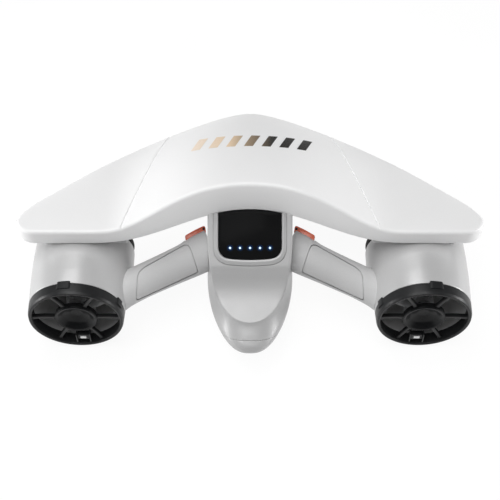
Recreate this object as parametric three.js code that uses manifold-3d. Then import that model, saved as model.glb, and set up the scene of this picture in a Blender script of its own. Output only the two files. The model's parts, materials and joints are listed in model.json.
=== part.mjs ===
// Twin-thruster underwater scooter: a swept buoyancy float on top of a central hull, with a handle and a
// ducted thruster on each side. Millimetres, +X right, +Y forward, +Z up.
import * as THREE from "three";
import { mergeVertices } from "three/addons/utils/BufferGeometryUtils.js";
import Module from "manifold-3d";

const wasm = await Module();
wasm.setup();

// ---- driving dimensions -------------------------------------------------------------------------
const HALF_SPAN = 239; // float tip
const NOSE_Y = 180; // float nose
const TAIL_Y = -101; // hull tail
const CENTRE_Y = (NOSE_Y + TAIL_Y) / 2; // drawn about the display, then moved back by this
const GAP = 0.3; // between pieces that touch
const WALL = 3; // moulded shells

const FLOAT = { crown: 160.5, wing: 122.5, floor: 104, tipRound: 19, tipY: 8, noseRound: 22.1, plate: 3 };
const HULL = { halfWidth: 45.5, tailStart: -5, noseStart: 60, keelSplit: 14 };
const DISPLAY = { y: -3, z: 109.4, tilt: 0.647, halfWidth: 32.5, half: 25, corner: 13, bezel: 5 };
const LIGHTS = { count: 5, pitch: 10.2, y: -13.2, r: 1.2 };
const BATTERY = { halfWidth: 20, low: 9, high: 39, corner: 6, rear: -50, front: 86 };
const BAY_WALL = 2.5;
const POD = { x: 179, z: 52, rear: -57, front: 21, r: 51.5, rDuct: 45.5 };
const SOCKET = { rise: 1.2, rear: -44, front: 4 }; // where the handle meets the duct
const GUARD = { rear: -70, dish: -62, front: 29, bar: 4.4, spokes: 6, hub: 22 };
const MOTOR = { r: 16.5, can: 20, rear: -27, front: 8 };
const SHAFT = { r: 3, rear: -53.5 };
const PROPELLER = { y: -42, r: 42.5, hub: 13, rear: -50.5, front: -34.2, blades: 3, chord: 34, pitch: 62 };
const GRIP = { inner: [40, 9, 69], outer: [140, -36, 53], across: 18.5, through: 16 };
const TRIGGER = { x: [-3.3, 22], width: 5, pin: [6, 15], rPin: 1.5, rSpring: 4.6, floor: 8 };
const SPRING = { r: 3.3, half: 1.7, turns: 3, wire: 0.4 };
const SCREW = { rHead: 3, rShank: 1.5 };

const ROUND = 24; // sides of a large round piece
const SMALL = 12; // sides of a small one

// name: colour, roughness, metalness
const FINISHES = {
  white: ["#e9eaec", 0.3, 0],
  grey: ["#c6c8cb", 0.4, 0],
  black: ["#161718", 0.45, 0],
  glass: ["#060708", 0.08, 0],
  red: ["#d63a1f", 0.35, 0],
  foam: ["#efece4", 0.9, 0],
  rubber: ["#1d1d1e", 0.8, 0],
  steel: ["#b9bcc0", 0.3, 0.9],
  brass: ["#b8924a", 0.35, 0.9],
  board: ["#1d5a34", 0.5, 0],
  blade: ["#55585c", 0.5, 0],
  light: ["#6fb4ff", 0.3, 0],
};
const MATERIALS = {};
for (const [name, [color, roughness, metalness]] of Object.entries(FINISHES))
  MATERIALS[name] = new THREE.MeshStandardMaterial({ name, color, roughness, metalness });

// ---- helpers ------------------------------------------------------------------------------------
const scooter = new THREE.Group();
scooter.position.y = -CENTRE_Y;
const vec = (x, y, z) => new THREE.Vector3(x, y, z);
const { lerp, clamp } = THREE.MathUtils;

// A closed geometry as a manifold solid, with its faces pointing out.
function solid(geometry) {
  const bare = geometry.clone();
  bare.deleteAttribute("normal");
  bare.deleteAttribute("uv");
  const merged = mergeVertices(bare, 1e-3);
  const make = (triVerts) =>
    new wasm.Manifold(
      new wasm.Mesh({ numProp: 3, vertProperties: merged.attributes.position.array, triVerts }),
    );
  const made = make(new Uint32Array(merged.index.array));
  return made.volume() > 0 ? made : make(new Uint32Array(merged.index.array).reverse());
}

function add(name, manifold, finish, parent = scooter) {
  const { vertProperties, triVerts } = manifold.getMesh();
  const geometry = new THREE.BufferGeometry();
  geometry.setAttribute("position", new THREE.BufferAttribute(vertProperties, 3));
  geometry.setIndex(new THREE.BufferAttribute(triVerts, 1));
  geometry.computeVertexNormals();
  const mesh = new THREE.Mesh(geometry, MATERIALS[finish]);
  mesh.name = name;
  parent.add(mesh);
}

// A closed skin through rings of points that all have the same count.
function loft(rings) {
  const count = rings[0].length;
  const last = (rings.length - 1) * count;
  const positions = rings.flat().flatMap((p) => [p.x, p.y, p.z]);
  const index = [];
  const hubs = [rings[0], rings.at(-1)].map((ring) => {
    const centre = ring.reduce((sum, p) => sum.add(p), vec(0, 0, 0)).divideScalar(count);
    positions.push(centre.x, centre.y, centre.z);
    return positions.length / 3 - 1;
  });
  for (let i = 0; i < count; i++) {
    const j = (i + 1) % count;
    index.push(hubs[0], j, i, hubs[1], last + i, last + j);
    for (let r = 0; r < last; r += count)
      index.push(r + i, r + j, r + count + j, r + i, r + count + j, r + count + i);
  }
  const geometry = new THREE.BufferGeometry();
  geometry.setAttribute("position", new THREE.Float32BufferAttribute(positions, 3));
  return solid(geometry.setIndex(index));
}

// A solid turned about the Y axis from [radius, y] pairs.
function turned(profile, sides = ROUND) {
  const points = profile.map(([r, y]) => new THREE.Vector2(r, y));
  if (profile[0][0] > 0) points.push(points[0].clone());
  return solid(new THREE.LatheGeometry(points, sides));
}
const ring = (rOut, rIn, y0, y1, sides = ROUND) =>
  turned([[rIn, y0], [rOut, y0], [rOut, y1], [rIn, y1]], sides);
const rod = (r, y0, y1, sides = SMALL) => turned([[0, y0], [r, y0], [r, y1], [0, y1]], sides);

function box([x0, y0, z0], [x1, y1, z1]) {
  const geometry = new THREE.BoxGeometry(x1 - x0, y1 - y0, z1 - z0);
  return solid(geometry.translate((x0 + x1) / 2, (y0 + y1) / 2, (z0 + z1) / 2));
}

// An outline of [x, y] pairs, or a shape, extruded along its own +Z and placed by a matrix.
function prism(outline, depth, matrix = new THREE.Matrix4(), curveSegments = 5) {
  const shape = Array.isArray(outline)
    ? new THREE.Shape(outline.map(([x, y]) => new THREE.Vector2(x, y)))
    : outline;
  const geometry = new THREE.ExtrudeGeometry(shape, { depth, bevelEnabled: false, curveSegments });
  return solid(geometry.applyMatrix4(matrix));
}

// A rectangle about the origin with one radius on its low corners and another on its high ones.
function roundedShape(halfX, halfY, low, high = low) {
  const shape = new THREE.Shape();
  shape.moveTo(-halfX + low, -halfY);
  shape.absarc(halfX - low, -halfY + low, low, -Math.PI / 2, 0);
  shape.absarc(halfX - high, halfY - high, high, 0, Math.PI / 2);
  shape.absarc(-halfX + high, halfY - high, high, Math.PI / 2, Math.PI);
  shape.absarc(-halfX + low, -halfY + low, low, Math.PI, 1.5 * Math.PI);
  return shape;
}

// Placing matrices: an outline's x, y and depth axes in the scooter's frame.
const axes = (x, y, z) => new THREE.Matrix4().makeBasis(vec(...x), vec(...y), vec(...z));
const SIDEWAYS = axes([0, 1, 0], [0, 0, 1], [1, 0, 0]); // outline in y and z, depth along x
const FORWARD = axes([-1, 0, 0], [0, 0, 1], [0, 1, 0]); // outline in x and z, depth along y
const TURN_UP = new THREE.Matrix4().makeRotationX(Math.PI / 2); // turned about y to turned about z
const placed = (matrix, x, y, z) => matrix.clone().setPosition(x, y, z);
const turnedUp = (profile, x, y, z, sides = SMALL) =>
  turned(profile, sides).transform(placed(TURN_UP, x, y, z).elements);

// A countersunk screw driven upwards from z.
function screw(x, y, z, length) {
  const { rHead, rShank } = SCREW;
  const profile = [
    [0, 1.2], [1.3, 1.2], [1.3, 0], [rHead, 0], [rHead, 0.5], [rShank, 2.2],
    [rShank, length - 1.5], [0, length],
  ];
  return turnedUp(profile, x, y, z, 8);
}
function screwHole(x, y, z, length) {
  const { rHead, rShank } = SCREW;
  const [head, shank] = [rHead + GAP, rShank + GAP];
  const profile = [[0, -5], [head, -5], [head, 0.6], [shank, 2.4], [shank, length + 1], [0, length + 1]];
  return turnedUp(profile, x, y, z, 8);
}

// ---- float --------------------------------------------------------------------------------------
// A swept wing, raised and thick across the middle, flat and thin over the thrusters.
const bell = (x, reach) => 0.5 * (1 + Math.cos(Math.PI * Math.min(x / reach, 1)));

const sweep = (x) => 0.247 * Math.hypot(x, FLOAT.noseRound) ** 1.191; // of the leading edge

function floatStation(x) {
  const past = clamp((x - HALF_SPAN + FLOAT.tipRound) / FLOAT.tipRound, 0, 1);
  const open = Math.sqrt(1 - past * past); // closes the plan outline round the tip
  const front = NOSE_Y + sweep(0) - sweep(x);
  const rear = -10 + 28 * bell(x, 165);
  const hump = bell(Math.min(x / 145, 1) ** 1.6, 1);
  return {
    front: lerp(FLOAT.tipY, front, open),
    rear: lerp(FLOAT.tipY, rear, open),
    top: lerp(FLOAT.wing, FLOAT.crown, hump) - 3 * (1 - open),
    nose: 115 - 23.4 * bell(x, 170),
    floorRear: FLOAT.floor + 21.2 * bell(x, 137) + 2 * (1 - open),
    floorFront: FLOAT.floor - 17 * bell(x, 150) + 2 * (1 - open),
  };
}

// One section of the float, moved in by inset all round, with its underside raised by lift.
function floatSection(x, inset, lift) {
  const s = floatStation((Math.abs(x) * HALF_SPAN) / (HALF_SPAN - inset));
  const chordIn = Math.min(inset, (s.front - s.rear) * 0.4);
  const [front, rear, top] = [s.front - chordIn, s.rear + chordIn, s.top - inset];
  const nose = Math.min(s.nose, top - 2);
  const floorAt = (y) => lerp(s.floorRear, s.floorFront, (y - s.rear) / (s.front - s.rear)) + lift;
  const lip = Math.min(5, (front - rear) / 8);
  const points = [[rear + lip / 2, floorAt(rear)], [rear, floorAt(rear) + lip], [rear, top - lip]];
  for (const t of [0.03, 0.28, 0.52, 0.73, 0.88, 0.97, 1])
    points.push([lerp(rear, front, t), lerp(nose, top, (1 - t ** 1.4) ** 0.556)]);
  const under = floorAt(front);
  points.push([front - lip * 0.4, lerp(nose, under, 0.65)], [front - lip * 1.6, under]);
  return points.map(([y, z]) => vec(x, y, z));
}

const STATIONS = [0, 0.11, 0.22, 0.32, 0.41, 0.48, 0.55, 0.7, 0.85, 0.93, 0.975, 0.999];
function floatSolid(inset, lift) {
  const half = STATIONS.map((u) => u * (HALF_SPAN - inset));
  const stations = [...half.slice(1).reverse().map((x) => -x), ...half];
  return loft(stations.map((x) => floatSection(x, inset, lift)));
}
const floatKeepOut = floatSolid(-0.4, -0.4);

// Brackets on the thrusters carry the float, with a screw up through each.
const BRACKET = { reach: 46, halfWidth: 7, y: [-4, 14], low: 97 };
const bracketScrew = { x: POD.x - BRACKET.reach, y: (BRACKET.y[0] + BRACKET.y[1]) / 2, z: BRACKET.low };

function buildFloat() {
  add("float_shell", floatSolid(0, 0).subtract(floatSolid(WALL, -8)), "white");
  const plate = floatSolid(WALL + GAP, 0).subtract(floatSolid(0, FLOAT.plate));
  const core = floatSolid(WALL + 3 * GAP, FLOAT.plate + 3 * GAP);
  const { x, y, z } = bracketScrew;
  const holes = screwHole(x, y, z, 14).add(screwHole(-x, y, z, 14));
  add("float_base_plate", plate.subtract(holes), "grey");
  add("float_foam_core", core.subtract(holes), "foam");
  add("float_screw_right", screw(x, y, z, 14), "steel");
  add("float_screw_left", screw(-x, y, z, 14), "steel");
}

// ---- hull ---------------------------------------------------------------------------------------
// Level contours, each with a rounded tail, straight flanks and a rounded nose. An end's taper is the share
// of the width that it loses towards its tip, over a plain half ellipse.
const CONTOURS = [
  // z, half width, tail y, nose y, tail's taper
  [0, 31.5, -60, 108, 0.2],
  [4, 36, -71, 120, 0.2],
  [14, 41, -83.5, 133, 0.2],
  [27, 44, -93.5, 139, 0.2],
  [34, 44.8, -98, 140, 0.2],
  [41, HULL.halfWidth, TAIL_Y, 141, 0.2],
  [45, 45.3, -98.6, 141, 0.2],
  [50, 45, -91, 141, 0.18],
  [60, 44, -77, 139, -0.04],
  [80, 43.5, -73, 134, -0.04],
  [134, 43.5, -60, 118, -0.04],
];
const NOSE_TAPER = -0.04;
function contour([z, halfWidth, tail, nose, tailTaper], inset) {
  const width = halfWidth - inset;
  const quarter = (end, start, taper) =>
    Array.from({ length: 7 }, (_, i) => {
      const a = (Math.PI / 2) * (i / 6);
      return [width * Math.cos(a) * (1 - taper * Math.sin(a) ** 2), lerp(start, end, Math.sin(a))];
    });
  const half = [
    ...quarter(nose - inset, HULL.noseStart, NOSE_TAPER).reverse(),
    ...quarter(tail + inset, HULL.tailStart, tailTaper),
  ];
  const other = half.slice(1, -1).reverse().map(([x, y]) => [-x, y]);
  return [...half, ...other].map(([x, y]) => vec(Math.abs(x) < 1e-6 ? 0 : x, y, z));
}

// What lies above the sloping display face and the deck behind it, lowered by drop.
function aboveDeck(drop) {
  const face = (y) => DISPLAY.z + (y - DISPLAY.y) * Math.tan(DISPLAY.tilt);
  const profile = [
    [60, face(60)], [-29, face(-29)], [-33, face(-29) - 4.5], [-38, 79], [-46, 71.5], [-57, 65],
    [-70, 61], [-120, 55], [-120, 240], [60, 240],
  ];
  return prism(profile, 120, placed(SIDEWAYS, -60, 0, -drop));
}

// The hull's outer form, moved in by inset.
function hullForm(inset) {
  const rows = CONTOURS.map(([z, ...row]) => [z || inset, ...row]);
  return loft(rows.map((row) => contour(row, inset))).subtract(aboveDeck(inset * 1.25));
}

// The tail cap lies below a parting plane that rises from the keel to the tail.
function belowCapSplit(shift) {
  const at = (y) => 46 + shift - 0.63 * (y + 92);
  const profile = [[-140, -60], [60, -60], [60, at(60)], [-140, at(-140)]];
  return prism(profile, 120, placed(SIDEWAYS, -60, 0, 0));
}

// A plate in the display's plane: x across, y up the slope, z out of the face.
const displayFrame = new THREE.Matrix4().makeRotationX(DISPLAY.tilt).setPosition(0, DISPLAY.y, DISPLAY.z);
function onDisplay(shape, low, high) {
  const lift = new THREE.Matrix4().makeTranslation(0, 0, low);
  return prism(shape, high - low, displayFrame.clone().multiply(lift), 4);
}
const displayPlate = (grow, low, high) => {
  const { halfWidth, half, corner } = DISPLAY;
  return onDisplay(roundedShape(halfWidth + grow, half + grow, corner + grow, 4), low, high);
};

// A length of the battery's cross-section, grown all round.
function batteryBar(grow, y0, y1) {
  const { halfWidth, low, high, corner } = BATTERY;
  const shape = roundedShape(halfWidth + grow, (high - low) / 2 + grow, corner + grow);
  return prism(shape, y1 - y0, placed(FORWARD, 0, y0, (low + high) / 2), 3);
}

const KEEL_SCREWS = [[-28, -2], [28, -2], [-28, 66], [28, 66]];
const KEEL_SCREW = { z: 0.5, length: 24, post: 4.2 };
const CAMERA = { y: 34, r: 14, flange: 17, top: 5.6, insert: 4.5, bore: 3 };

function buildHull() {
  const outer = hullForm(0);
  const wall = outer.subtract(hullForm(WALL).subtract(floatSolid(-3.4, -3.4)));
  const aboveKeel = box([-60, -140, HULL.keelSplit], [60, 200, 160]);
  const belowKeel = box([-60, -140, -1], [60, 200, HULL.keelSplit - GAP]);

  let housing = wall.intersect(aboveKeel);
  let keel = wall.intersect(belowKeel).subtract(belowCapSplit(GAP));
  for (const [x, y] of KEEL_SCREWS) {
    const side = Math.sign(x);
    const rib = [x - side * 4, side * 43].sort((a, b) => a - b);
    housing = housing.add(box([rib[0], y - 4, HULL.keelSplit], [rib[1], y + 4, 30]));
    const post = rod(KEEL_SCREW.post, 2, HULL.keelSplit - GAP);
    keel = keel.add(post.transform(placed(TURN_UP, x, y, 0).elements));
    const hole = screwHole(x, y, KEEL_SCREW.z, KEEL_SCREW.length);
    housing = housing.subtract(hole);
    keel = keel.subtract(hole);
  }
  for (const y of [4, 52]) keel = keel.add(box([-18, y, 2], [18, y + 3, BATTERY.low - BAY_WALL - 2 * GAP]));
  const cameraHole = [[0, -3], [CAMERA.r + GAP, -3], [CAMERA.r + GAP, 9], [0, 9]];
  keel = keel.subtract(turnedUp(cameraHole, 0, CAMERA.y, 0, 24));
  housing = housing
    .intersect(outer)
    .subtract(belowCapSplit(0))
    .subtract(floatKeepOut)
    .subtract(displayPlate(DISPLAY.bezel + GAP, -1.8, 30))
    .subtract(displayPlate(-1, -12, 0));
  add("hull_housing", housing, "white");
  add("keel_cover", keel, "grey");
  KEEL_SCREWS.forEach(([x, y], i) =>
    add(`keel_screw_${i + 1}`, screw(x, y, KEEL_SCREW.z, KEEL_SCREW.length - 2), "steel"),
  );
  const { r, flange, top, insert, bore } = CAMERA;
  const mount = [[insert + GAP, 0], [r, 0], [r, 3.3], [flange, 3.3], [flange, top], [insert + GAP, top]];
  add("camera_mount", turnedUp(mount, 0, CAMERA.y, 0, 24), "grey");
  const thread = [[bore, 0.2], [insert, 0.2], [insert, top], [bore, top]];
  add("camera_mount_insert", turnedUp(thread, 0, CAMERA.y, 0), "brass");
}

// A box in the display's plane, from its low corner to its high corner.
const displayBox = (low, high) => box(low, high).transform(displayFrame.elements);

function buildDisplay() {
  const openEnd = displayBox([-60, DISPLAY.half - 2, -9], [60, 60, 9]);
  const bezel = displayPlate(DISPLAY.bezel, -1.5, 1.3).subtract(displayPlate(GAP, -9, 9));
  add("display_bezel", bezel.subtract(openEnd).subtract(floatKeepOut), "grey");
  let glass = displayPlate(0, -1.4, 0.6);
  let guide = displayBox([-26, LIGHTS.y - 3, -3.3], [26, LIGHTS.y + 3, -1.7]);
  for (let i = 0; i < LIGHTS.count; i++) {
    const x = (i - (LIGHTS.count - 1) / 2) * LIGHTS.pitch;
    const place = displayFrame.clone().multiply(placed(TURN_UP, x, LIGHTS.y, 0));
    glass = glass.subtract(rod(LIGHTS.r + GAP, -9, 9, 8).transform(place.elements));
    guide = guide.add(rod(LIGHTS.r, -2.5, 0.6, 8).transform(place.elements));
  }
  add("display_glass", glass.subtract(floatKeepOut), "glass");
  add("indicator_light_guide", guide, "light");
  add("display_screen", displayBox([-28, LIGHTS.y + 3.5, -3.3], [28, DISPLAY.half - 4, -1.7]), "black");
  add("control_board", displayBox([-28, -DISPLAY.half + 8, -5.3], [28, DISPLAY.half - 4, -3.6]), "board");
}

function buildBattery() {
  const { rear, front } = BATTERY;
  const mouth = rear - 6; // the bay reaches back over the cap's neck
  const bay = batteryBar(GAP + BAY_WALL, mouth, front + 9).subtract(batteryBar(GAP, mouth - 9, front + 6));
  add("battery_bay", bay, "black");
  add("battery_pack", batteryBar(0, rear + GAP, front), "black");
  add("battery_contacts", box([-12, front + GAP, 16], [12, front + 5.5, 32]), "brass");
  const shell = hullForm(0).subtract(hullForm(WALL)).intersect(belowCapSplit(-GAP));
  const neck = batteryBar(0, mouth - 12, rear).subtract(
    batteryBar(1, rear - 4.5, rear - 1.5).subtract(batteryBar(-2, rear - 9, rear + 9)),
  );
  const plug = hullForm(1).intersect(batteryBar(0, -140, mouth - 2).add(neck));
  add("battery_cap", shell.add(plug), "grey");
  const groove = batteryBar(0.1, rear - 4.2, rear - 1.8).subtract(batteryBar(-1.7, rear - 9, rear + 9));
  add("battery_seal", groove, "rubber");
}

// ---- thrusters, drawn for the right-hand side ---------------------------------------------------
const spun = (manifold, degrees) => manifold.rotate([0, degrees, 0]);
const around = (count, first, piece) =>
  Array.from({ length: count }, (_, i) => spun(piece, first + (360 / count) * i)).reduce((a, b) => a.add(b));

// A guard: an outer ring, spokes and a hub, with the spokes bowed out by dome at the hub.
function guard(ringProfile, hubProfile, yRim, yHub) {
  const { bar, spokes, hub } = GUARD;
  const stations = [
    // distance from the axis, y, share of the bar's width
    [hub - 8, yHub, 0.8], [(hub + POD.rDuct) / 2, lerp(yHub, yRim, 0.6), 0.8], [POD.rDuct + 1, yRim, 1],
  ];
  const corners = [[-1, -1], [1, -1], [1, 1], [-1, 1]];
  const spoke = loft(
    stations.map(([z, y, scale]) => corners.map(([a, b]) => vec((a * bar * scale) / 2, y + b * 1.6, z))),
  );
  return turned(ringProfile).add(turned(hubProfile, 16)).add(around(spokes, 30, spoke));
}

function blade() {
  const radii = [0.2, 0.45, 0.7, 0.9, 1];
  return loft(
    radii.map((u) => {
      const r = u * PROPELLER.r;
      const chord = PROPELLER.chord * Math.sin(Math.PI * (0.25 + 0.45 * u));
      const pitch = Math.atan(PROPELLER.pitch / (2 * Math.PI * Math.max(r, 12)));
      const half = Math.min(chord / 2, 7.6 / Math.max(Math.sin(pitch), 0.05));
      const thick = lerp(2.4, 1.2, u);
      return [[-1, 0], [-0.5, -0.5], [0.5, -0.5], [1, 0], [0.5, 0.5], [-0.5, 0.5]].map(([a, b]) => {
        const [along, out] = [a * half, b * thick];
        const angle = (along * Math.cos(pitch) - out * Math.sin(pitch)) / r;
        const y = along * Math.sin(pitch) + out * Math.cos(pitch);
        return vec(r * Math.sin(angle), y, r * Math.cos(angle));
      });
    }),
  );
}

function buildThruster(side, name) {
  const pod = new THREE.Group();
  pod.position.set(POD.x, 0, POD.z);
  side.add(pod);
  const put = (part, manifold, finish) => add(`${name}_${part}`, manifold, finish, pod);
  const { rear, front, r, rDuct } = POD;
  const local = (manifold) => manifold.translate([-POD.x, 0, -POD.z]);

  // duct housing, with the saddle and the bracket that carry the float
  const { reach, halfWidth, y, low } = BRACKET;
  const duct = turned([[rDuct, rear], [r - 2, rear], [r - 0.4, -22], [r, -4], [r - 0.4, front - 6],
    [r - 1.8, front - 1], [r - 3, front], [rDuct + 0.4, front - 2], [rDuct, front - 6]]);
  const saddle = local(box([POD.x - 32, y[0], 90], [POD.x + 32, y[1], 110]));
  const bracket = local(box([POD.x - reach - halfWidth, y[0], low], [POD.x, y[1], 110]));
  const bore = rod(rDuct + 1, rear - 5, front + 5, ROUND);
  const hole = screwHole(bracketScrew.x, bracketScrew.y, bracketScrew.z, 14);
  const gripRoot = local(gripBar(0)).subtract(bore);
  const socket = ring(r + SOCKET.rise, rDuct + 2, SOCKET.rear, SOCKET.front).intersect(gripRoot);
  const housing = duct
    .add(saddle.add(bracket).subtract(bore))
    .add(socket)
    .subtract(local(floatKeepOut).add(local(hole)));
  put("pod_housing", housing, "white");

  const lip = rear - GAP;
  const rearRing = [[rDuct - 0.7, GUARD.rear], [r - 3.4, GUARD.rear], [r - 2.6, GUARD.rear + 2],
    [r - 2, lip], [rDuct - 0.7, lip]];
  const { dish: dishY, hub: hubR, front: noseY } = GUARD;
  const dish = [[0, dishY], [hubR - 6, dishY], [hubR - 1, dishY - 3.5], [hubR, dishY - 2.5],
    [hubR - 1, dishY + 0.5], [hubR - 6, dishY + 3], [0, dishY + 3]];
  put("rear_guard", guard(rearRing, dish, dishY - 1.5, dishY), "black");
  const frontRing = [[rDuct - 1, front + GAP], [r - 1, front + GAP], [r - 0.2, front + 3],
    [r - 0.6, front + 5], [r - 3, noseY - 1], [rDuct, noseY], [rDuct - 1, noseY - 1]];
  const boss = [[0, noseY + 2], [12, noseY + 2], [hubR - 3, noseY + 5], [12, noseY + 8], [0, noseY + 9]];
  put("front_guard", guard(frontRing, boss, noseY - 4, noseY + 4), "black");

  // motor in its can, carried by vanes inside the duct
  const { r: rMotor, can, rear: motorRear, front: motorFront } = MOTOR;
  const bulkhead = motorFront + GAP;
  const canBody = turned([[rMotor + GAP, motorRear - 3.5], [can, motorRear - 3.5], [can, bulkhead],
    [can * 0.8, bulkhead + 9], [can * 0.4, bulkhead + 14], [0, bulkhead + 15], [0, bulkhead],
    [rMotor + GAP, bulkhead]], 20);
  const vane = box([-1.4, -8, can - 1], [1.4, 10, rDuct - 1.6]);
  const band = ring(rDuct - GAP, rDuct - 2.2, -10, 12);
  put("stator_frame", canBody.add(band).add(around(3, 60, vane)), "black");
  put("motor", turned([[SHAFT.r + GAP, motorRear], [rMotor, motorRear], [rMotor, motorFront],
    [SHAFT.r + GAP, motorFront]], 20), "steel");
  const coverRear = motorRear - 3.5;
  put("motor_cover", ring(rMotor, 9, coverRear, motorRear - GAP, 20), "black");
  put("shaft_bearing", ring(9 - GAP, SHAFT.r + GAP, coverRear + 0.2, motorRear - GAP, SMALL), "steel");
  put("shaft_seal", ring(8, SHAFT.r + GAP, coverRear - 2, coverRear - 0.1, SMALL), "rubber");

  // what turns
  const { y: propY, hub, rear: hubRear, front: hubFront, blades } = PROPELLER;
  put("motor_shaft", rod(SHAFT.r, SHAFT.rear, motorFront - 1), "steel");
  const spinner = turned([[SHAFT.r + GAP, hubRear], [hub - 4, hubRear], [hub - 1, hubRear + 2.5],
    [hub, hubRear + 6.5], [hub, hubFront], [SHAFT.r + GAP, hubFront]], 16);
  const bladeSet = around(blades, 60, blade().translate([0, propY, 0]));
  put("propeller", spinner.add(bladeSet.subtract(rod(hub - 2, -60, -20))), "blade");
  put("propeller_nut", ring(6, SHAFT.r + 2 * GAP, SHAFT.rear + 0.2, hubRear - GAP, 6), "steel");
}

// ---- handles, drawn for the right-hand side -----------------------------------------------------
// The handle's own frame: x out along it, z towards the palm, y towards the fingers.
const gripX = vec(...GRIP.outer).sub(vec(...GRIP.inner));
const gripLength = gripX.length();
gripX.normalize();
const palmwards = vec(0, -0.55, 0.83);
const gripZ = palmwards.clone().addScaledVector(gripX, -gripX.dot(palmwards)).normalize();
const gripY = gripZ.clone().cross(gripX);
const gripFrame = new THREE.Matrix4().makeBasis(gripX, gripY, gripZ).setPosition(...GRIP.inner);
const inGrip = (manifold) => manifold.transform(gripFrame.elements);

// The handle's oval bar moved in by inset. It flares where it runs into the thruster.
const GRIP_FLARES = [
  // share of the length, flare
  [0, 1.08], [0.06, 1.07], [0.2, 1.05], [0.5, 0.99], [0.72, 0.97], [0.82, 0.99], [0.92, 1.06], [1, 1.2],
];
function gripBar(inset) {
  const ovals = GRIP_FLARES.map(([share, flare]) =>
    Array.from({ length: SMALL }, (_, k) => {
      const a = (2 * Math.PI * k) / SMALL;
      const [half, deep] = [GRIP.across * flare - inset, GRIP.through * flare - inset];
      return vec(share * gripLength, half * Math.cos(a), deep * Math.sin(a));
    }),
  );
  return inGrip(loft(ovals));
}

// The palm cover's outline, in the handle's x and y.
const COVER_OUTLINE = [
  [24.3, -16.6], [95, -16.6], [91.3, -8], [86.5, 1], [83, 5.8], [78, 10], [71, 12], [23.5, 16], [20, 14.5],
  [19, 11.5],
];
const COVER_CLEAR = COVER_OUTLINE.map(([x, y]) => [lerp(x, 58, 0.012), lerp(y, 0, 0.03)]);
const COVER_FLOOR = 3;
const COVER_THICKNESS = 2.5;

// The trigger's outline in the handle's x and y: a rocking blade with its inner end beside the hull.
const TRIGGER_OUTLINE = [
  [3.6, 9.5], [20, 11.5], [22, 14], [21.5, 20.5], [20, 24.5], [8, 26.3], [-1.5, 26.4], [-3.3, 24.5],
  [-1.6, 20],
];

function buildHandle(side, name) {
  const put = (part, manifold, finish) => add(`${name}_${part}`, manifold, finish, side);
  const { x, width, pin, rPin, rSpring, floor } = TRIGGER;
  const podKeepOut = rod(POD.r + SOCKET.rise + GAP, -80, 60, ROUND).translate([POD.x, 0, POD.z]);
  const neighbours = hullForm(-GAP).add(podKeepOut);
  const bar = gripBar(0).subtract(neighbours);
  const solidEnd = inGrip(box([-40, 2, -40], [x[1] + 6, 40, 40]));
  const hollow = gripBar(WALL).subtract(solidEnd);
  const raised = (z) => new THREE.Matrix4().makeTranslation(0, 0, z);
  const palmPrism = (outline, z) => inGrip(prism(outline, 40, raised(z)));
  const pocket = inGrip(box([x[0] - 1, floor, -width - GAP], [x[1] + 1, 60, width + GAP]));
  const alongPin = placed(TURN_UP, ...pin, 0);
  const onPin = (manifold) => inGrip(manifold.transform(alongPin.elements));
  const pinHole = onPin(rod(rPin + GAP, -10.3, 10.3, SMALL));
  const sensor = (grow) =>
    inGrip(box([12 - grow, 4 - grow, -3 - grow], [20 + grow, floor + grow, 3 + grow]));
  const palmSide = palmPrism(COVER_OUTLINE, COVER_FLOOR);
  const opened = bar.subtract(hollow).subtract(palmSide).subtract(pocket);
  put("grip_frame", opened.subtract(pinHole).subtract(sensor(GAP)), "white");
  const skin = bar.subtract(gripBar(COVER_THICKNESS)).subtract(pocket);
  put("grip_cover", skin.intersect(palmPrism(COVER_CLEAR, COVER_FLOOR + GAP)), "grey");

  const slot = onPin(turned([[0, -2.4], [rSpring, -2.4], [rSpring, 2.4], [0, 2.4]], SMALL));
  const lever = inGrip(prism(TRIGGER_OUTLINE, 2 * width, raised(-width)));
  put("trigger", lever.subtract(slot).subtract(pinHole), "red");
  put("trigger_pin", onPin(rod(rPin, -10, 10)), "steel");
  put("trigger_spring", onPin(springCoil()), "steel");
  put("trigger_sensor", sensor(0), "black");
}

function springCoil() {
  const { r, half, turns, wire } = SPRING;
  class Helix extends THREE.Curve {
    getPoint(t, target = vec(0, 0, 0)) {
      const a = t * Math.PI * 2 * turns;
      return target.set(r * Math.cos(a), lerp(-half, half, t), r * Math.sin(a));
    }
  }
  const corners = [[wire, 0], [0, wire], [-wire, 0], [0, -wire]];
  const section = new THREE.Shape(corners.map(([x, y]) => new THREE.Vector2(x, y)));
  return solid(new THREE.ExtrudeGeometry(section, { steps: 20, extrudePath: new Helix() }));
}

buildFloat();
buildHull();
buildDisplay();
buildBattery();
for (const [name, mirror] of [["right", 1], ["left", -1]]) {
  const side = new THREE.Group();
  side.scale.x = mirror;
  scooter.add(side);
  buildThruster(side, name);
  buildHandle(side, name);
}

export default scooter;
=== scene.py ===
"""The looks of a twin-thruster underwater scooter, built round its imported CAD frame.

Shapes are drawn in millimetres in the CAD's own axes (+X right, +Y forward, +Z up) with the stations of its
design, and moved to the frame by to_frame(), in metres.
"""
import json
import math

import bmesh
import bpy
import numpy as np
from mathutils import Matrix, Vector


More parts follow.
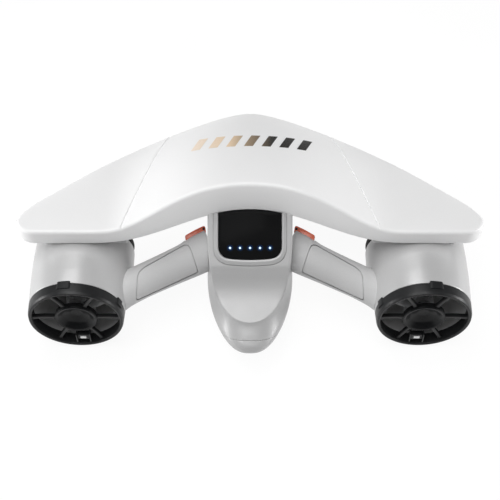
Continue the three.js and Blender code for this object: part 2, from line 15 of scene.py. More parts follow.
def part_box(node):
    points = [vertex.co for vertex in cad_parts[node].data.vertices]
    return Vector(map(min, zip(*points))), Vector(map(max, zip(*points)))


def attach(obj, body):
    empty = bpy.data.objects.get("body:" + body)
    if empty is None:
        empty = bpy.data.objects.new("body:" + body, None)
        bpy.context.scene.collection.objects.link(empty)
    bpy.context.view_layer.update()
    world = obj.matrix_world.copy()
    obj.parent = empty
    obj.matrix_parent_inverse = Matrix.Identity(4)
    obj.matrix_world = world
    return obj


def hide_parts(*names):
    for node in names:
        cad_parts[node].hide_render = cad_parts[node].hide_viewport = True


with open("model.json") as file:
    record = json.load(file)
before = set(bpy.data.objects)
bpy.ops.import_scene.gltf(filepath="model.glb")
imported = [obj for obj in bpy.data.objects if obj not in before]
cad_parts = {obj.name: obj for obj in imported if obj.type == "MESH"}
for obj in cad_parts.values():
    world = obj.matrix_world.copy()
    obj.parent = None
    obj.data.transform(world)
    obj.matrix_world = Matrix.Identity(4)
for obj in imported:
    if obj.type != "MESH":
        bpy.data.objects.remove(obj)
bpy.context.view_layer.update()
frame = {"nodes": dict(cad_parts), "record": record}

# ---- driving dimensions, in millimetres ----------------------------------------------------------
MM = 0.001
float_low, float_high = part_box("float_shell")
pod_low, pod_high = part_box("right_rear_guard")
HALF_SPAN = float_high.x / MM
NOSE_Y = 180.0
CENTRE_Y = NOSE_Y - float_high.y / MM  # the design's Y at the frame's origin
POD_X = (pod_low.x + pod_high.x) / 2 / MM
POD_Z = (pod_low.z + pod_high.z) / 2 / MM
CAMERA_PITCH = math.radians(53)
CAMERA_PLACE = (0, -0.6696, 0.9162)  # metres
CAMERA_LENS, CAMERA_SENSOR = 72, 36

WALL = 3.0
FIT = 0.35  # between pieces that meet
POD_R = 51.5
DUCT_R = 45.5
POD_REAR = -57.0
POD_FRONT = 25.5
GUARD_REAR = -70.0
HUB_R = 22.0

DISPLAY_Y = -3.0
DISPLAY_Z = 109.4
DISPLAY_TILT = 0.647
LIGHTS = 5
LIGHT_PITCH = 10.2
LIGHT_Y = -13.2
HALO_R = 3.7


def to_frame(point):
    x, y, z = point
    return (x * MM, (y - CENTRE_Y) * MM, z * MM)


def display_point(x, y, z):
    """A point from the display's plane: x across, y up its slope, z out of its face."""
    c, s = math.cos(DISPLAY_TILT), math.sin(DISPLAY_TILT)
    return (x, DISPLAY_Y + y * c - z * s, DISPLAY_Z + y * s + z * c)


def lerp(a, b, t):
    return a + (b - a) * t


def smooth(t):
    t = min(max(t, 0.0), 1.0)
    return t * t * (3 - 2 * t)


def curve_through(knots):
    """A smooth function through (input, output) knots, without overshoot."""
    xs = np.array([k[0] for k in knots], float)
    ys = np.array([k[1] for k in knots], float)
    secants = np.diff(ys) / np.diff(xs)
    slopes = np.zeros(len(xs))
    slopes[0], slopes[-1] = secants[0], secants[-1]
    for i in range(1, len(xs) - 1):
        if secants[i - 1] * secants[i] > 0:
            slopes[i] = 2 * secants[i - 1] * secants[i] / (secants[i - 1] + secants[i])

    def at(x):
        x = min(max(x, xs[0]), xs[-1])
        i = min(int(np.searchsorted(xs, x, side="right")) - 1, len(xs) - 2)
        h = xs[i + 1] - xs[i]
        t = (x - xs[i]) / h
        a = (1 + 2 * t) * (1 - t) ** 2 * ys[i] + t * (1 - t) ** 2 * h * slopes[i]
        b = t * t * (3 - 2 * t) * ys[i + 1] + t * t * (t - 1) * h * slopes[i + 1]
        return float(a + b)

    return at


# ---- materials -----------------------------------------------------------------------------------
class Shader:
    """A Principled material with helpers for procedural detail in object space."""

    def __init__(self, name):
        self.material = bpy.data.materials.new(name)
        self.material.use_nodes = True
        self.tree = self.material.node_tree
        self.surface = self.tree.nodes["Principled BSDF"]
        self.place = self.tree.nodes.new("ShaderNodeTexCoord").outputs["Object"]

    def node(self, kind, **settings):
        made = self.tree.nodes.new(kind)
        for key, value in settings.items():
            setattr(made, key, value)
        return made

    def link(self, source, target):
        self.tree.links.new(source, target)

    def set(self, **values):
        for key, value in values.items():
            self.surface.inputs[key.replace("_", " ")].default_value = value

    def noise(self, scale, detail=3.0, stretch=(1, 1, 1)):
        mapping = self.node("ShaderNodeMapping")
        mapping.inputs["Scale"].default_value = stretch
        self.link(self.place, mapping.inputs["Vector"])
        noise = self.node("ShaderNodeTexNoise")
        noise.inputs["Scale"].default_value = scale
        noise.inputs["Detail"].default_value = detail
        self.link(mapping.outputs["Vector"], noise.inputs["Vector"])
        return noise.outputs["Fac"]

    def ramp(self, factor, stops):
        ramp = self.node("ShaderNodeValToRGB")
        elements = ramp.color_ramp.elements
        while len(elements) < len(stops):
            elements.new(0.5)
        for element, (position, colour) in zip(elements, stops):
            element.position = position
            element.color = (*colour, 1.0)
        self.link(factor, ramp.inputs["Fac"])
        return ramp.outputs["Color"]

    def mottle(self, factor, low, high):
        """A colour from low to high over the range where noise mostly lies."""
        return self.ramp(factor, [(0.3, low), (0.7, high)])

    def spread(self, factor, low, high):
        """The factor mapped from 0.3..0.7, where noise mostly lies, to low..high."""
        remap = self.node("ShaderNodeMapRange")
        remap.inputs["From Min"].default_value = 0.3
        remap.inputs["From Max"].default_value = 0.7
        remap.inputs["To Min"].default_value = low
        remap.inputs["To Max"].default_value = high
        self.link(factor, remap.inputs["Value"])
        return remap.outputs["Result"]

    def maths(self, operation, first, second=None):
        """One step of arithmetic on numbers or outputs."""
        made = self.node("ShaderNodeMath", operation=operation)
        for socket, value in zip(made.inputs, (first, second)):
            if isinstance(value, (int, float)):
                socket.default_value = value
            elif value is not None:
                self.link(value, socket)
        return made.outputs["Value"]

    def bump(self, height, distance):
        bump = self.node("ShaderNodeBump")
        bump.inputs["Strength"].default_value = 1.0
        bump.inputs["Distance"].default_value = distance
        self.link(height, bump.inputs["Height"])
        return bump.outputs["Normal"]

    def finish(self, colour=None, roughness=None, normal=None):
        if colour is not None:
            self.link(colour, self.surface.inputs["Base Color"])
        if roughness is not None:
            self.link(roughness, self.surface.inputs["Roughness"])
        if normal is not None:
            self.link(normal, self.surface.inputs["Normal"])
        return self.material


def tint(colour, factor):
    return tuple(min(1.0, c * factor) for c in colour)


def paint(name, colour, roughness, metallic=0.0, coat=0.3, flake=0.02):
    """Sprayed paint on moulded plastic: fine flake, orange peel and a clear coat."""
    shader = Shader(name)
    shader.set(Metallic=metallic, Coat_Weight=coat, Coat_Roughness=0.12)
    fine = shader.noise(900, 2.0)
    broad = shader.noise(14, 2.0)
    tone = shader.mottle(fine, tint(colour, 1 - flake), tint(colour, 1 + flake))
    mix = shader.node("ShaderNodeMix", data_type="RGBA", blend_type="MULTIPLY")
    mix.inputs["Factor"].default_value = 1.0
    shader.link(tone, mix.inputs[6])
    shader.link(shader.mottle(broad, (0.985, 0.985, 0.985), (1, 1, 1)), mix.inputs[7])
    rough = shader.spread(shader.noise(90, 3.0), roughness * 0.9, roughness * 1.12)
    return shader.finish(mix.outputs[2], rough, shader.bump(shader.noise(160, 1.0), 0.000006))


def moulded(name, colour, roughness, grain=700, depth=0.00001, coat=0.0, specular=0.5):
    """Moulded plastic or rubber with a fine spark-eroded grain."""
    shader = Shader(name)
    shader.set(Coat_Weight=coat, Coat_Roughness=0.15, Specular_IOR_Level=specular)
    tone = shader.mottle(shader.noise(60, 4.0), tint(colour, 0.88), tint(colour, 1.12))
    rough = shader.spread(shader.noise(220, 3.0), roughness * 0.88, min(1.0, roughness * 1.15))
    return shader.finish(tone, rough, shader.bump(shader.noise(grain, 2.0), depth))


def metal(name, colour, roughness, stretch=(1, 1, 1)):
    """Turned or drawn metal with fine tool marks."""
    shader = Shader(name)
    shader.set(Metallic=1.0)
    marks = shader.noise(900, 3.0, stretch)
    tone = shader.mottle(marks, tint(colour, 0.9), tint(colour, 1.08))
    rough = shader.spread(marks, roughness * 0.8, roughness * 1.3)
    return shader.finish(tone, rough, shader.bump(marks, 0.00001))


def black_glass():
    """Black-backed window glass, with a dim blue glow behind it round each indicator light."""
    shader = Shader("display_glass_black")
    shader.set(Specular_IOR_Level=0.03, IOR=1.3)
    split = shader.node("ShaderNodeSeparateXYZ")
    shader.link(shader.place, split.inputs["Vector"])
    across = shader.maths("PINGPONG", split.outputs["X"], LIGHT_PITCH * MM / 2)
    _, row_y, row_z = to_frame(display_point(0, LIGHT_Y, 0.6))
    behind = shader.maths("SUBTRACT", split.outputs["Y"], row_y)
    above = shader.maths("SUBTRACT", split.outputs["Z"], row_z)
    behind = shader.maths("MULTIPLY", behind, math.cos(DISPLAY_TILT))
    above = shader.maths("MULTIPLY", above, math.sin(DISPLAY_TILT))
    along = shader.maths("ADD", behind, above)
    squares = [shader.maths("POWER", shader.maths("ABSOLUTE", length), 2) for length in (across, along)]
    distance = shader.maths("SQRT", shader.maths("ADD", *squares))
    reach = shader.maths("DIVIDE", distance, HALO_R * MM)
    row_end = LIGHT_PITCH * MM * LIGHTS / 2
    inside = shader.maths("LESS_THAN", shader.maths("ABSOLUTE", split.outputs["X"]), row_end)
    fading = shader.maths("MAXIMUM", shader.maths("SUBTRACT", 1.0, reach), 0.0)
    glow = shader.maths("MULTIPLY", fading, inside)
    black, navy, blue = (0.0, 0.0, 0.0), (0.001, 0.010, 0.034), (0.006, 0.05, 0.16)
    halo = shader.ramp(glow, [(0.0, black), (0.3, navy), (1.0, blue)])
    shader.link(halo, shader.surface.inputs["Emission Color"])
    shader.surface.inputs["Emission Strength"].default_value = 1.0
    tone = shader.mottle(shader.noise(25, 2.0), (0.0075, 0.0076, 0.008), (0.0095, 0.0096, 0.010))
    return shader.finish(tone, shader.spread(shader.noise(40, 2.0), 0.12, 0.18))


def lit_blue():
    """A light pipe's end, glowing from blue to pale blue in a fine mottle."""
    shader = Shader("light_guide_blue")
    glow = shader.mottle(shader.noise(900, 1.0), (0.42, 0.62, 0.95), (0.66, 0.80, 1.0))
    shader.link(glow, shader.surface.inputs["Emission Color"])
    shader.surface.inputs["Emission Strength"].default_value = 0.9
    shader.set(Specular_IOR_Level=0.1)
    return shader.finish(glow, shader.spread(shader.noise(300, 2.0), 0.2, 0.3))


def circuit_board():
    """Green solder mask with copper tracks showing through it."""
    shader = Shader("circuit_board_green")
    brick = shader.node("ShaderNodeTexBrick")
    brick.inputs["Scale"].default_value = 260
    brick.inputs["Color1"].default_value = (0.02, 0.2, 0.07, 1)
    brick.inputs["Color2"].default_value = (0.025, 0.24, 0.09, 1)
    brick.inputs["Mortar"].default_value = (0.05, 0.35, 0.14, 1)
    shader.link(shader.place, brick.inputs["Vector"])
    return shader.finish(brick.outputs["Color"], shader.spread(shader.noise(200), 0.3, 0.45))


MATERIALS = {
    "white": paint("pearl_white_paint", (0.84, 0.84, 0.842), 0.42, coat=0.05, flake=0.01),
    "pod": paint("pod_silver_paint", (0.50, 0.50, 0.502), 0.36, metallic=0.15, coat=0.15, flake=0.02),
    "silver": paint("silver_white_paint", (0.47, 0.47, 0.472), 0.42, metallic=0.1, coat=0.1, flake=0.02),
    "grip": paint("grip_silver_paint", (0.58, 0.58, 0.582), 0.65, coat=0.0, flake=0.02),
    "keel": paint("keel_silver_paint", (0.45, 0.45, 0.452), 0.44, metallic=0.1, coat=0.05, flake=0.02),
    "black": moulded("black_nylon", (0.012, 0.0124, 0.0132), 0.4, grain=600, specular=0.3),
    "dish": moulded("black_nylon_polished", (0.008, 0.0083, 0.009), 0.3, grain=400, coat=0.05, specular=0.15),
    "blade": moulded("grey_nylon_blade", (0.30, 0.304, 0.31), 0.42, grain=600),
    "red": moulded("trigger_red", (0.92, 0.18, 0.09), 0.34, coat=0.2),
    "foam": moulded("closed_cell_foam", (0.84, 0.82, 0.77), 0.9, grain=700, depth=0.0002),
    "rubber": moulded("seal_rubber", (0.02, 0.02, 0.021), 0.75),
    "steel": metal("stainless_steel", (0.62, 0.63, 0.65), 0.28, (1, 0.08, 1)),
    "motor": metal("motor_case", (0.5, 0.51, 0.53), 0.4),
    "brass": metal("turned_brass", (0.78, 0.58, 0.28), 0.3),
    "case": moulded("battery_case", (0.035, 0.038, 0.045), 0.5),
    "board": circuit_board(),
    "glass": black_glass(),
    "light": lit_blue(),
}

CAD_FINISH = {
    "white_plastic": "silver",
    "silver_plastic": "keel",
    "black_plastic": "black",
    "blade_plastic": "blade",
    "red_plastic": "red",
    "foam": "foam",
    "steel": "steel",
    "motor_metal": "motor",
    "brass": "brass",
    "display_glass": "glass",
    "light_guide": "light",
    "circuit_board": "board",
    "battery_case": "case",
    "seal_rubber": "rubber",
}


def dress_cad_nodes():
    for part in frame["record"]["subparts"]:
        node = frame["nodes"][part["node"]]
        node.data.materials.clear()
        node.data.materials.append(MATERIALS[CAD_FINISH[part["material_slot"]]])


# ---- mesh helpers --------------------------------------------------------------------------------
def round_angles(count):
    return np.linspace(0, 2 * math.pi, count + 1)[:-1]


def new_object(name, points, faces, material):
    mesh = bpy.data.meshes.new(name)
    mesh.from_pydata([to_frame(p) for p in points], [], faces)
    thing = bpy.data.objects.new(name, mesh)
    bpy.context.scene.collection.objects.link(thing)
    mesh.materials.append(MATERIALS[material])
    return thing


def clean(thing, sharp=32, merge=2e-6):
    """Merges doubled points, faces the normals out and shades smooth up to an edge angle."""
    mesh = thing.data
    work = bmesh.new()
    work.from_mesh(mesh)
    bmesh.ops.remove_doubles(work, verts=work.verts, dist=merge)
    bmesh.ops.dissolve_degenerate(work, dist=merge, edges=work.edges)
    bmesh.ops.recalc_face_normals(work, faces=work.faces)
    work.to_mesh(mesh)
    work.free()
    mesh.shade_smooth()
    mesh.set_sharp_from_angle(angle=math.radians(sharp))
    return thing


def rows_to_faces(row_count, column_count, wrap=True, offset=0):
    faces = []
    for r in range(row_count - 1):
        for c in range(column_count if wrap else column_count - 1):
            d = (c + 1) % column_count
            a, b = offset + r * column_count, offset + (r + 1) * column_count
            faces.append((a + c, a + d, b + d, b + c))
    return faces


def bridge(first, second):
    """Faces between two closed rings of point numbers."""
    count = len(first)
    return [(first[i], second[i], second[(i + 1) % count], first[(i + 1) % count]) for i in range(count)]


def loft(name, rows, material, wrap=True, caps=True, sharp=32):
    """A surface through rows of points that all have the same count."""
    columns = len(rows[0])
    points = [p for row in rows for p in row]
    faces = rows_to_faces(len(rows), columns, wrap)
    if caps:
        faces.append(tuple(range(columns)))
        faces.append(tuple(range((len(rows) - 1) * columns, len(rows) * columns)))
    return clean(new_object(name, points, faces, material), sharp)


def arc_corners(outline, steps=5, closed=True):
    """Points of an outline of (x, y, radius) corners, with each corner rounded by its radius."""
    points = []
    count = len(outline)
    for i, (x, y, radius) in enumerate(outline):
        corner = Vector((x, y))
        if radius <= 0 or (not closed and i in (0, count - 1)):
            points.append((x, y))
            continue
        before = Vector(outline[i - 1][:2]) - corner
        after = Vector(outline[(i + 1) % count][:2]) - corner
        half = before.angle(after) / 2
        reach = min(radius / math.tan(half), before.length * 0.49, after.length * 0.49)
        start, end = corner + before.normalized() * reach, corner + after.normalized() * reach
        for s in range(steps + 1):
            t = s / steps
            p = start * (1 - t) ** 2 + corner * 2 * t * (1 - t) + end * t * t
            points.append((p.x, p.y))
    return points


def turned(name, outline, material, centre=(0, 0), sides=96, sharp=32, steps=4):
    """A closed (radius, y, corner) outline turned about the Y axis through centre (x, z)."""
    profile = arc_corners(outline, steps)
    rows = []
    for s in range(sides):
        a = 2 * math.pi * s / sides
        rows.append([(centre[0] + r * math.sin(a), y, centre[1] + r * math.cos(a)) for r, y in profile])
    rows.append(rows[0])
    return loft(name, rows, material, wrap=True, caps=False, sharp=sharp)


def join(name, things):
    """Several closed solids as one object, which keeps the first one's place."""
    bpy.ops.object.select_all(action="DESELECT")
    for thing in things:
        thing.select_set(True)
    bpy.context.view_layer.objects.active = things[0]
    bpy.ops.object.join()
    things[0].name = name
    return things[0]


def boolean(thing, other, operation="DIFFERENCE"):
    modifier = thing.modifiers.new("cut", "BOOLEAN")
    modifier.operation = operation
    modifier.solver = "EXACT"
    modifier.object = other
    apply_modifiers(thing)
    bpy.data.objects.remove(other)
    return thing


def mirrored(thing, name):
    """A copy of a right-hand piece for the left-hand side."""
    copy = thing.copy()
    copy.data = thing.data.copy()
    copy.name = name
    bpy.context.scene.collection.objects.link(copy)
    copy.data.transform(Matrix.Scale(-1, 4, (1, 0, 0)))
    copy.data.flip_normals()
    copy.data.set_sharp_from_angle(angle=math.radians(32))
    return copy


def both_sides(piece, body, *nodes, slot=None):
    """Places a right-hand piece and its mirror image on the bodies and nodes of each side."""
    name = piece.name
    left = mirrored(piece, f"left_{name}")
    piece.name = f"right_{name}"
    for side, thing in (("right", piece), ("left", left)):
        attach(thing, body.replace("SIDE", side))
        if nodes:
            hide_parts(*[n.replace("SIDE", side) for n in nodes])


def single(piece, body, *nodes, slot=None):
    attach(piece, body)
    if nodes:
        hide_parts(*nodes)


# ---- float ---------------------------------------------------------------------------------------
TIP_ROUND = 19.0
TIP_Y = 8.0
NOSE_ROUND = 22.1
RIM = 3.6  # how far the rounded rim reaches in from the outline
REAR_LEAN = 3.5  # of the rear rim's face over the display


def bell(x, reach):
    return 0.5 * (1 + math.cos(math.pi * min(abs(x) / reach, 1)))


def sweep(x):
    return 0.247 * math.hypot(x, NOSE_ROUND) ** 1.191


def rear_lean(x):
    return REAR_LEAN * bell(x, 120)


def float_front(x):
    return NOSE_Y + sweep(0) - sweep(x)


def float_rear(x):
    return -10 + 28 * bell(x, 165)


def float_floor(x, y):
    t = (y - float_rear(x)) / (float_front(x) - float_rear(x))
    t = min(max(t, 0.0), 1.0)
    return lerp(104 + 21.2 * bell(x, 137), 104 - 17 * bell(x, 150), t)


def crease_x(t):
    """The side crease runs from the rear edge forward and inward."""
    return lerp(131, 86, t**1.15)


def vee_x(t):
    """The faint central vee, which closes to a line ahead of its apex."""
    return 50 * max(0.012, 1 - t / 0.66)


def float_top(x, y):
    t = (y - float_rear(x)) / (float_front(x) - float_rear(x))
    t = min(max(t, 0.0), 1.0)
    ax = abs(x)
    hump = bell(min(ax / 145, 1) ** 1.6, 1)
    crown = lerp(122.5, 160.2, hump)
    nose = 115 - 23.4 * bell(x, 170)
    z = lerp(nose, crown, (1 - t**1.4) ** 0.556 if t < 1 else 0.0)
    shown = smooth(t / 0.05) * smooth((1 - t) / 0.04)
    beyond = ax - crease_x(t)
    z -= 1.3 * math.exp(-((beyond / 0.85) ** 2)) * shown
    if beyond > 0:
        z -= 0.07 * beyond * math.exp(-beyond / 16) * shown
    z -= 0.12 * math.exp(-(((ax - vee_x(t)) / 1.4) ** 2)) * smooth(t / 0.06) * smooth((1 - t) / 0.2)
    if ax < vee_x(t):
        z += 0.01 * (vee_x(t) - ax) * smooth(t / 0.08)
    return z


def float_plan():
    """Rows of plan points: across by column, from the rear edge to the front by row, inside the rim."""
    near = [-6, -3, -1.6, -1, -0.5, 0, 0.5, 1, 1.6, 3, 6]
    chordwise = [*np.linspace(0, 0.06, 5), *np.linspace(0.09, 0.9, 30), *np.linspace(0.92, 1, 8)]
    limit = HALF_SPAN - RIM
    rows = []
    for t in chordwise:
        v, c = vee_x(t), crease_x(t)
        half = [0.0]
        half += list(np.linspace(0, 1, 9)[1:] * v)
        half += [v + d * min(1, (c - v) / 30) for d in (0.8, 1.6, 3.2)]
        inner_end = c + near[0]
        half += list(np.linspace(half[-1], inner_end, 14)[1:-1])
        half += [c + d for d in near]
        outer = 1 - np.linspace(1, 0, 26)[1:] ** 1.7
        half += [lerp(c + near[-1], limit, s) for s in outer]
        rows.append([-x for x in half[:0:-1]] + half)
    return chordwise, rows


def float_edge(x, rear):
    """The plan outline moved in by the rim's reach."""
    limit = HALF_SPAN - RIM
    radius = TIP_ROUND - RIM
    past = min(max((abs(x) - limit + radius) / radius, 0), 1)
    opening = math.sqrt(max(0.0, 1 - past * past))
    step = 0.5
    line = float_rear if rear else float_front
    slope = (line(abs(x) + step) - line(abs(x) - step)) / (2 * step)
    inset = (RIM + (rear_lean(x) if rear else 0)) * math.sqrt(1 + slope * slope)
    edge = line(abs(x)) + (inset if rear else -inset)
    return lerp(TIP_Y, edge, opening)


def float_grid():
    chordwise, rows = float_plan()
    grid = []
    for t, xs in zip(chordwise, rows):
        row = []
        for x in xs:
            y = lerp(float_edge(x, True), float_edge(x, False), t)
            row.append((x, y))
        grid.append(row)
    return grid


def boundary_of(grid):
    """Indices (row, column) once round the grid: rear edge, right tip, front edge, left tip."""
    rows, columns = len(grid), len(grid[0])
    loop = [(0, c) for c in range(columns)]
    loop += [(r, columns - 1) for r in range(1, rows)]
    loop += [(rows - 1, c) for c in range(columns - 2, -1, -1)]
    loop += [(r, 0) for r in range(rows - 2, 0, -1)]
    return loop


def outward(plan):
    """Unit outward normals of a closed plan loop that runs anticlockwise."""
    count = len(plan)
    normals = []
    for i in range(count):
        k = 1
        while True:
            a, b = plan[(i - k) % count], plan[(i + k) % count]
            dx, dy = b[0] - a[0], b[1] - a[1]
            length = math.hypot(dx, dy)
            if length > 0.4 or k > 8:
                break
            k += 1
        normals.append((dy / max(length, 1e-9), -dx / max(length, 1e-9)))
    return normals


def rim_section(top, slope, bottom):
    """(distance in from the outline, height) from the top's edge down to the inner lip."""
    drop = min(max(3.4, slope * RIM + 2.8), (top - bottom) * 0.62)
    wall_top = top - drop
    points = []
    for s in range(1, 9):
        t = s / 8
        a, b, c, d = (1 - t) ** 3, 3 * t * (1 - t) ** 2, 3 * t * t * (1 - t), t**3
        reach = RIM * 0.6
        along = (a + b) * RIM - b * reach
        height = a * top + b * (top - slope * reach) + c * (wall_top + drop * 0.55) + d * wall_top
        points.append((along, height))
    foot = 1.3
    for s in (0.33, 0.66):
        points.append((0.0, lerp(wall_top, bottom + foot, s)))
    for s in range(0, 5):
        a = math.pi / 2 * s / 4
        points.append((foot * (1 - math.cos(a)), bottom + foot * (1 - math.sin(a))))
    return points


def make_float():
    grid = float_grid()
    rows, columns = len(grid), len(grid[0])
    loop = boundary_of(grid)
    plan = [grid[r][c] for r, c in loop]
    normals = outward(plan)
    points = [(x, y, float_top(x, y)) for row in grid for x, y in row]
    faces = rows_to_faces(rows, columns, wrap=False)
    index = [r * columns + c for r, c in loop]
    sections = []
    for (x, y), (nx, ny) in zip(plan, normals):
        top = float_top(x, y)
        further = float_top(x - nx * 2, y - ny * 2)
        slope = max(0.0, (further - top) / 2)
        sections.append(rim_section(top, slope, float_floor(x + nx * RIM, y + ny * RIM)))
    depth = len(sections[0])
    previous = index
    leans = [rear_lean(x) if i < columns else 0.0 for i, (x, _) in enumerate(plan)]
    for j in range(depth + 1):
        ring = []
        for (x, y), (nx, ny), section, lean in zip(plan, normals, sections, leans):
            along, height = section[j] if j < depth else (WALL, section[-1][1])
            top = float_top(x, y)
            out = RIM - along + lean * min(1.0, (top - height) / (top - section[-1][1]))
            points.append((x + nx * out, y + ny * out, height))
            ring.append(len(points) - 1)
        faces += bridge(previous, ring)
        previous = ring
    # the shell's inner side
    start = len(points)
    points += [(x, y, float_top(x, y) - WALL) for row in grid for x, y in row]
    faces += rows_to_faces(rows, columns, wrap=False, offset=start)
    inner = []
    for (x, y), (nx, ny) in zip(plan, normals):
        points.append((x + nx * (RIM - WALL), y + ny * (RIM - WALL), float_top(x, y) - WALL - 2))
        inner.append(len(points) - 1)
    top_ring = [start + i for i in index]
    faces += bridge(previous, inner) + bridge(inner, top_ring)
    shell = clean(new_object("float_skin", points, faces, "white"), sharp=40)
    single(shell, "hull", "float_shell", slot="white_plastic")

    # base plate, flush with the rim's foot
    reach = RIM - WALL - FIT
    layers = []
    for lift in (0.0, WALL):
        layers.append([(x, y, float_floor(x, y) + lift) for row in grid for x, y in row])
    points = layers[0] + layers[1]
    count = rows * columns
    faces = rows_to_faces(rows, columns, wrap=False) + rows_to_faces(rows, columns, wrap=False, offset=count)
    rings = [index]
    for lift in (0.0, WALL):
        ring = []
        for (x, y), (nx, ny), lean in zip(plan, normals, leans):
            px, py = x + nx * (reach + lean), y + ny * (reach + lean)
            points.append((px, py, float_floor(px, py) + lift))
            ring.append(len(points) - 1)
        rings.append(ring)
    rings.append([i + count for i in index])
    for first, second in zip(rings, rings[1:]):
        faces += bridge(first, second)
    plate = clean(new_object("float_underside", points, faces, "keel"), sharp=40)
    single(plate, "hull", "float_base_plate", slot="silver_plastic")


def make_float_graphic():
    """A generic graphic: slanted bars that run from pale gold to near black across the nose."""
    shader = Shader("graphic_gold_to_black")
    shader.set(Coat_Weight=0.3, Coat_Roughness=0.15)
    split = shader.node("ShaderNodeSeparateXYZ")
    shader.link(shader.place, split.inputs["Vector"])
    remap = shader.node("ShaderNodeMapRange")
    remap.inputs["From Min"].default_value = -0.06
    remap.inputs["From Max"].default_value = 0.066
    shader.link(split.outputs["X"], remap.inputs["Value"])
    peach, gold = (0.86, 0.74, 0.62), (0.80, 0.62, 0.44)
    bronze, dark = (0.33, 0.25, 0.17), (0.03, 0.028, 0.026)
    stops = [(0.0, peach), (0.3, gold), (0.46, bronze), (0.66, dark)]
    tone = shader.ramp(remap.outputs["Result"], stops)
    MATERIALS["graphic"] = shader.finish(tone, shader.spread(shader.noise(900), 0.25, 0.4))
    points, faces = [], []
    bars, across, deep, slant, skin = 7, 9.5, 21.0, 8.0, 0.12
    for i in range(bars):
        start = lerp(-58, 53, i / (bars - 1))
        base = len(points)
        columns, rows = 5, 9
        for r in range(rows):
            for c in range(columns):
                v = r / (rows - 1)
                x = start + across * c / (columns - 1) + slant * (v - 0.5)
                y = 84 + deep * v
                points.append((x, y, float_top(x, y) + skin))
        faces += rows_to_faces(rows, columns, wrap=False, offset=base)
    graphic = new_object("float_graphic", points, faces, "graphic")
    thicken(graphic, 0.1, offset=-1)
    single(clean(graphic), "hull")


def thicken(thing, thickness, offset=-1.0):
    """Gives an open surface a thickness in millimetres, with its rims closed."""
    modifier = thing.modifiers.new("thickness", "SOLIDIFY")
    modifier.thickness = thickness * MM
    modifier.offset = offset
    modifier.use_even_offset = False
    apply_modifiers(thing)


def bevel(thing, width, angle=50, segments=2):
    modifier = thing.modifiers.new("soft edges", "BEVEL")
    modifier.width = width * MM
    modifier.segments = segments
    modifier.limit_method = "ANGLE"
    modifier.angle_limit = math.radians(angle)
    modifier.use_clamp_overlap = True
    apply_modifiers(thing)


def apply_modifiers(thing):
    bpy.context.view_layer.update()
    evaluated = thing.evaluated_get(bpy.context.evaluated_depsgraph_get())
    mesh = bpy.data.meshes.new_from_object(evaluated)
    thing.modifiers.clear()
    thing.data = mesh


# ---- hull ----------------------------------------------------------------------------------------
TAIL_START = -4.2
NOSE_START = 60.0
KEEL_SPLIT = 14.0
HALF_WIDTH = curve_through([(0, 31.5), (4, 36), (14, 41), (27, 44), (41, 45.5), (49, 45), (60, 44),
                            (80, 43.5), (134, 43.5)])
TAIL = curve_through([(0, -60), (4, -71), (14, -83.5), (27, -93.5), (34, -98), (38, -100.2), (41, -101),
                      (45, -98.6), (50, -91), (60, -77), (80, -73), (134, -60)])
NOSE = curve_through([(0, 108), (4, 120), (14, 133), (27, 139), (41, 141), (49, 141), (60, 139),
                      (80, 134), (134, 118)])
TAIL_TAPER = curve_through([(0, 0.2), (41, 0.2), (50, 0.17), (60, -0.04), (134, -0.04)])
TAIL_POWER = curve_through([(0, 0.8), (41, 0.76), (48, 0.8), (60, 0.95), (134, 0.95)])
NOSE_TAPER = -0.04
FACE_END = -29.0


def face_height(y):
    return DISPLAY_Z + (y - DISPLAY_Y) * math.tan(DISPLAY_TILT)


DECK = curve_through([(-120, 55), (-84, 58.6), (-70, 61.2), (-57, 65.2), (-46, 71.3), (-38, 78.2),
                      (-34, 83.2), (FACE_END - 1, face_height(FACE_END) - 1.6),
                      (FACE_END, face_height(FACE_END))])


def deck_height(y):
    return face_height(y) if y >= FACE_END else DECK(y)


def hull_plan(z, s):
    """A point of the level outline at height z, for s from 0 at the nose to 1 at the tail."""
    width, tail, nose = HALF_WIDTH(z), TAIL(z), NOSE(z)
    if s < 0.3:
        a = math.pi / 2 * (1 - s / 0.3)
        share = max(math.cos(a), 0) * (1 - NOSE_TAPER * math.sin(a) ** 2)
        return width * share, lerp(NOSE_START, nose, math.sin(a))
    if s < 0.45:
        return width, lerp(NOSE_START, TAIL_START, (s - 0.3) / 0.15)
    a = math.pi / 2 * (s - 0.45) / 0.55
    share = max(math.cos(a), 0) ** TAIL_POWER(z) * (1 - TAIL_TAPER(z) * math.sin(a) ** 2)
    return width * share, lerp(TAIL_START, tail, math.sin(a))


DECK_REACH = 1.5  # of the deck into the float's rear wall


def hull_limit(x, y):
    """The height at which the hull's wall meets the deck or the underside of the float."""
    limit = deck_height(y)
    if y > float_rear(x) + DECK_REACH:
        limit = min(limit, float_floor(x, y) - 0.3)
    return limit


def wall_top(s):
    low, high = KEEL_SPLIT, 134.0
    for _ in range(40):
        z = (low + high) / 2
        x, y = hull_plan(z, s)
        if z < hull_limit(x, y):
            low = z
        else:
            high = z
    return low


